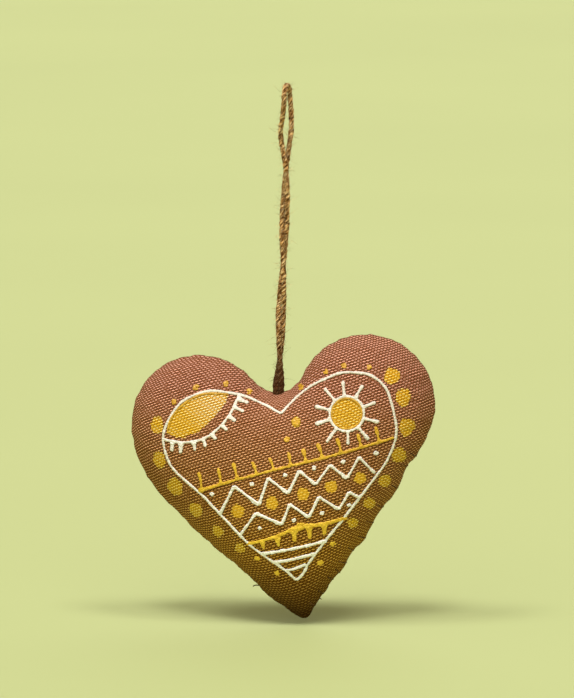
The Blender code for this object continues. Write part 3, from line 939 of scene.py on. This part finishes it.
def settlePaint(brush, tree, name):
    # the beads become one skin of paint that lies flat on the cloth
    selectOnly(brush)
    bpy.ops.object.convert(target="MESH")
    paint = bpy.context.active_object
    paint.name = name
    for vertex in paint.data.vertices:
        spot, normal, _, _ = tree.find_nearest(vertex.co)
        rise = (vertex.co - spot).dot(normal)
        settled = paintSet["fullHeight"] * mm * math.tanh(rise * paintSet["flatness"] / paintSet["fullHeight"] / mm)
        vertex.co = vertex.co + normal * (paintSet["lift"] * mm + settled - rise)
    paint.data.transform(Matrix.Scale(paintSet["workScale"], 4))
    merged = paint.modifiers.new("one skin", "REMESH")
    merged.mode = "VOXEL"
    merged.voxel_size = paintSet["cell"] * mm * paintSet["workScale"]
    applyModifier(paint, "one skin")
    eased = paint.modifiers.new("settled", "SMOOTH")
    eased.factor = 0.5
    eased.iterations = 2
    applyModifier(paint, "settled")
    paint.data.transform(Matrix.Scale(1 / paintSet["workScale"], 4))
    # the skin follows the threads below it: small dents and swellings
    spots, normals = readVertices(paint), readVertices(paint, "normal")
    fine, coarse = paintSet["raggedScale"]
    dents = [noise.noise(Vector(spot) * fine) + 0.6 * noise.noise(Vector(spot) * coarse) for spot in spots]
    spots += normals * np.array(dents)[:, None] * paintSet["ragged"] * mm
    paint.data.vertices.foreach_set("co", spots.ravel())
    paint.data.update()
    paint.data.shade_smooth()
    print(name, "triangles:", len(paint.data.polygons) * 2)
    return paint


# both paints are darker above and lighter below: painted light, standing in for how the light falls on them
paintTones = {"white paint": {"high": (0.73, 0.69, 0.64), "highShade": (0.60, 0.56, 0.49),
                              "low": (0.95, 0.95, 0.95), "lowShade": (0.83, 0.83, 0.80),
                              "roughness": 0.5, "shine": 0.4},
              "gold paint": {"high": (0.62, 0.365, 0.033), "highShade": (0.43, 0.205, 0.010),
                             "low": (0.94, 0.68, 0.060), "lowShade": (0.60, 0.34, 0.014),
                             "roughness": 0.38, "shine": 0.35}}


def makePaint(name, values):
    material, tree, shader = newMaterial(name, values["roughness"])
    place, level = objectPlace(tree)
    towardsLightBelow = spread(tree, level[2], *lightBelowSpan)
    cloudy = addNode(tree, "ShaderNodeTexNoise", {"Vector": place, "Scale": 900.0, "Detail": 3.0, "Roughness": 0.6})
    grain = addNode(tree, "ShaderNodeTexNoise", {"Vector": place, "Scale": 3200.0, "Detail": 2.0})
    # painted light: the upper and lower tones go by height; the cloudy mix is the paint's own uneven tone
    shade = mixColour(tree, towardsLightBelow, values["highShade"], values["lowShade"])
    full = mixColour(tree, towardsLightBelow, values["high"], values["low"])
    colour = mixColour(tree, spread(tree, cloudy.outputs[0], 0.3, 0.72), shade, full)
    tree.links.new(colour, shader.inputs["Base Color"])
    addRelief(tree, shader, 0.55, 0.10 * mm, grain.outputs[0])
    setFinish(shader, specular=values["shine"])
    return material


dice = random.Random(paintSet["seed"])
clothTree = surfaceTree(cover)
white = newBrush("white_lines")
width = paintSet["whiteWidth"]
drawLine(white, clothTree, heartLine, width)
drawLine(white, clothTree, heartLineRight, width)
drawLine(white, clothTree, cornerArc, width * 0.92)
arcLine, _ = evenSteps(curveThrough(cornerArc, 10), 0.1)
for tip in lashTips:
    # each lash grows from the nearest place on the arc, wide at its foot
    foot = arcLine[np.argmin(((arcLine - np.array(tip)) ** 2).sum(1))]
    outward = (np.array(tip) - foot) / np.linalg.norm(np.array(tip) - foot)
    drawLine(white, clothTree, [tuple(foot), tuple((foot + tip) / 2), tuple(tip + outward * 0.4)],
             width * dice.uniform(0.95, 1.1), strokeShapes["lash"])
drawLine(white, clothTree, circle(sun["centre"], sun["ring"]), width * 0.92)
for angle, reach in zip(sun["rayAngle"], sun["rayLength"]):
    towards = np.array((math.cos(math.radians(angle)), math.sin(math.radians(angle))))
    route = [np.array(sun["centre"]) + towards * r for r in (sun["ring"], (sun["ring"] + reach) / 2, reach + 0.2)]
    drawLine(white, clothTree, [tuple(p) for p in route], width * dice.uniform(1.0, 1.15), strokeShapes["ray"])
for zigzag in (upperZigzag, lowerZigzag):
    drawZigzag(white, clothTree, zigzag, width * 0.98)
for left, right in stripes:
    sagging = ((left[0] + right[0]) / 2, (left[1] + right[1]) / 2 - 0.25)
    drawLine(white, clothTree, [left, sagging, right], width * 1.12, strokeShapes["stripe"])
for x, height in whiteDots:
    drawBlob(white, clothTree, x, height, dice.uniform(1.65, 1.95), 4, 0.45)
gold = newBrush("gold_lines")
drawComb(gold, clothTree, upperComb)
drawComb(gold, clothTree, lowerComb)
for x, height, size, lumps in goldDabs:
    drawBlob(gold, clothTree, x, height, size, lumps, 0.62)
drawLine(gold, clothTree, circle(sun["centre"], sun["rim"]), 0.72)
for x, height in goldBlobs:
    drawBlob(gold, clothTree, x, height, dice.uniform(1.8, 2.15), 5, 0.62)
# the almond's upper border
drawLine(gold, clothTree, goldAlmond[:6], 0.8)
whiteLines = settlePaint(white, clothTree, "white_lines")
goldLines = settlePaint(gold, clothTree, "gold_lines")
for paint, name, slotName in ((whiteLines, "white paint", "white_paint"), (goldLines, "gold paint", "gold_paint")):
    paint.data.materials.append(makePaint(name, paintTones[name]))
    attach(paint, "root")


def soakGold(piece):
    # how deep inside a gold patch each point of the cloth lies, in mm, below zero outside; and where it is thick
    points = readVertices(piece) / mm
    x, height = points[:, 0], points[:, 2]
    inFront = points[:, 1] < -0.5
    depth = np.full(len(points), -9.0)
    coat = np.zeros(len(points))
    for spot in thickSpots + thinSpots + [(*sun["centre"], sun["disc"], sun["disc"])]:
        spotX, spotHeight, halfWide, halfHigh = spot
        angle = np.arctan2(height - spotHeight, x - spotX)
        ragged = 1 + 0.05 * np.sin(3 * angle + spotX) + 0.04 * np.sin(5 * angle + spotHeight)
        away = np.hypot((x - spotX) / halfWide, (height - spotHeight) / halfHigh)
        depth = np.maximum(depth, (ragged - away) * min(halfWide, halfHigh))
        if spot in thickSpots:
            coat = np.maximum(coat, np.clip((1.8 - away) / 0.4, 0, 1) * inFront)
    border = np.array(goldAlmond)
    inside = insideOutline(np.stack([x, height], 1), border)
    nearest = np.full(len(points), 99.0)
    for start, end in zip(border, np.roll(border, -1, axis=0)):
        edge = end - start
        t = np.clip(((x - start[0]) * edge[0] + (height - start[1]) * edge[1]) / edge.dot(edge), 0, 1)
        nearest = np.minimum(nearest, np.hypot(x - start[0] - t * edge[0], height - start[1] - t * edge[1]))
    depth = np.maximum(depth, np.where(inside, nearest, -nearest))
    depth = np.where(inFront, np.clip(depth, -3.0, 3.0), -3.0)
    for name, values in (("goldDepth", depth), ("goldCoat", coat)):
        layer = piece.data.attributes.new(name, "FLOAT", "POINT")
        layer.data.foreach_set("value", values.astype(np.float32))


soakGold(cover)
print("decoration painted")


# closing seam: whip stitches over the right rim, with loose thread ends, and the cloth's own lint
stitchSet = {"radius": 0.15 * mm, "bite": 2.3 * mm, "advance": 1.1 * mm, "proud": 0.10 * mm, "sunk": -0.35 * mm,
             "colourDark": (0.020, 0.008, 0.003), "colour": (0.11, 0.045, 0.015), "colourPale": (0.28, 0.13, 0.05)}
# where the stitches cross the rim; where the ends stick out, their direction, length and radius; in mm
stitchPlaces = [(47.8, -134.0), (46.0, -138.8), (42.3, -146.6), (38.0, -154.8), (34.2, -159.8), (30.2, -165.0),
                (26.0, -170.2), (22.9, -174.0), (19.8, -177.6), (17.5, -180.5), (13.6, -185.2), (9.6, -189.4)]
threadEnds = [((-10.6, -182.6), (-0.95, -0.15), 2.1, 0.24), ((12.0, -187.3), (0.85, -0.35), 0.9, 0.2)]
# a stitch from front to back: along its slant, and its depth behind the rim as a share of the bite
stitchRoute = [(-1.0, 1.12), (-1.0, 1.0), (-0.5, 0.55), (-0.2, 0.22), (0.0, 0.0), (0.2, 0.22), (0.5, 0.55), (1.0, 1.0),
               (1.0, 1.12)]
lintSet = {"count": 640, "width": 0.05 * mm, "length": (0.5, 1.4), "seed": 7, "colourDark": (0.20, 0.075, 0.030),
           "colour": (0.52, 0.26, 0.13), "colourPale": (0.95, 0.75, 0.52)}


def onCloth(tree, x, z, side, proud):
    hit, normal, _, _ = tree.ray_cast(Vector((x, 0.2 * side, z)), Vector((0, -side, 0)))
    return None if hit is None else hit + normal * proud


def nearestOn(rim, place):
    return int(np.argmin(((rim - np.array(place) * mm) ** 2).sum(1)))


def makeStitches(tree, rim, values):
    tubes = []
    for number, place in enumerate(stitchPlaces):
        near = nearestOn(rim, place)
        tangent = rim[(near + 1) % len(rim)] - rim[near - 1]
        tangent /= np.linalg.norm(tangent)
        if tangent[1] > 0:
            tangent = -tangent
        inward = np.array([-tangent[1], tangent[0]])
        if inward.dot(heartMiddle - rim[near]) < 0:
            inward = -inward
        lean = values["advance"] * (0.8 + 0.4 * ((number * 7) % 5) / 4)
        line = []
        for t, depth in stitchRoute:
            spot = rim[near] + tangent * lean * t / 2 + inward * values["bite"] * depth
            if depth == 0.0:
                outer = rim[near] - inward * values["proud"]
                line.append((outer[0], 0.0, outer[1]))
                continue
            rise = values["sunk"] if depth > 1.0 else values["proud"]
            found = onCloth(tree, spot[0], spot[1], -1 if t < 0 else 1, rise)
            if found is not None:
                line.append(tuple(found))
        if len(line) < 5:
            continue
        line = curveThrough(line, 4)
        tubes.append((line, [values["radius"]] * len(line), number * 0.013))
    for place, towards, length, radius in threadEnds:
        near = nearestOn(rim, place)
        start = np.array([rim[near][0], -0.3 * mm, rim[near][1]])
        way = np.array([towards[0], -0.25, towards[1]]) * length * mm
        line = curveThrough([start - way * 0.3, start, start + way * 0.5 + (0, 0, 0.25 * mm), start + way], 5)
        tubes.append((line, list(np.linspace(radius, radius * 0.8, len(line)) * mm), 0.4))
    return makeTubes("closing_stitches", tubes, 6)


def makeLint(piece, values):
    dice = random.Random(values["seed"])
    spots, normals = readVertices(piece), readVertices(piece, "normal")
    hairs = []
    for _ in range(values["count"]):
        i = dice.randrange(len(spots))
        out = Vector(normals[i]).normalized()
        lean = out.cross(Vector([dice.uniform(-1, 1) for _ in range(3)])).normalized()
        length = dice.uniform(*values["length"]) * mm
        hairs.append(strayHair(Vector(spots[i]), out, lean, length, values["width"], 4, dice))
    return makeTubes("linen_lint", hairs, 3)


coverPoints = readVertices(cover)
rimPoints = coverPoints[abs(coverPoints[:, 1]) < 0.05 * mm][:, [0, 2]]
rimAngle = np.arctan2(*(rimPoints - heartMiddle).T[::-1])
stitches = makeStitches(clothTree, rimPoints[np.argsort(rimAngle)], stitchSet)
lint = makeLint(cover, lintSet)
for piece, values, name, slotName in ((stitches, stitchSet, "sewing thread", "sewing_thread"),
                                      (lint, lintSet, "linen lint", "brown_linen")):
    piece.data.materials.append(makeThreadMaterial(values, name))
    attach(piece, "root")
print("stitches and lint made")


# plain pale floor just under the tip and soft studio light; a lamp is where it shines from, strength, spread, colour
studioSet = {"floorHeight": -0.1963, "floor": (0.368, 0.422, 0.184), "roomColour": (0.60, 0.50, 0.03),
             "roomStrength": 0.37}
studioLamps = {"key left": ((-0.42, -0.34, 1.0), 1.20, 16.0, (1.0, 0.96, 0.97)),
               "key middle": ((-0.06, -0.46, 1.0), 1.80, 16.0, (1.0, 0.96, 0.97)),
               "key right": ((0.32, -0.34, 1.0), 1.15, 16.0, (1.0, 0.96, 0.97)),
               "fill in front": ((0.0, -1.0, 0.30), 1.15, 80.0, (1.0, 0.95, 0.90)),
               "fill behind": ((0.20, 1.0, 0.50), 1.0, 70.0, (1.0, 0.96, 0.90))}


def makeStudio(values):
    bpy.ops.object.select_all(action="DESELECT")
    bpy.ops.mesh.primitive_plane_add(size=40.0, location=(0.0, 0.0, values["floorHeight"]))
    floor = bpy.context.active_object
    floor.name = "floor"
    material, tree, shader = newMaterial("pale floor", 0.75)
    place, _ = objectPlace(tree)
    speck = addNode(tree, "ShaderNodeTexNoise", {"Vector": place, "Scale": 3.0, "Detail": 2.0})
    paler = tuple(min(c * 1.06, 1.0) for c in values["floor"])
    tree.links.new(mixColour(tree, speck.outputs[0], values["floor"], paler), shader.inputs["Base Color"])
    floor.data.materials.append(material)
    world = bpy.data.worlds.new("studio")
    world.use_nodes = True
    room = world.node_tree.nodes["Background"]
    room.inputs["Color"].default_value = (*values["roomColour"], 1.0)
    room.inputs["Strength"].default_value = values["roomStrength"]
    bpy.context.scene.world = world
    bpy.context.scene.view_settings.view_transform = "Standard"  # keeps the gold and the brown as deep as they are
    for name, (place, strength, lampSpread, colour) in studioLamps.items():
        lamp = bpy.data.lights.new("soft " + name, "SUN")
        lamp.energy = strength
        lamp.angle = math.radians(lampSpread)
        lamp.color = colour
        holder = bpy.data.objects.new("soft " + name, lamp)
        holder.rotation_euler = Vector(place).to_track_quat("Z", "Y").to_euler()
        bpy.context.collection.objects.link(holder)
    print("studio set")


makeStudio(studioSet)
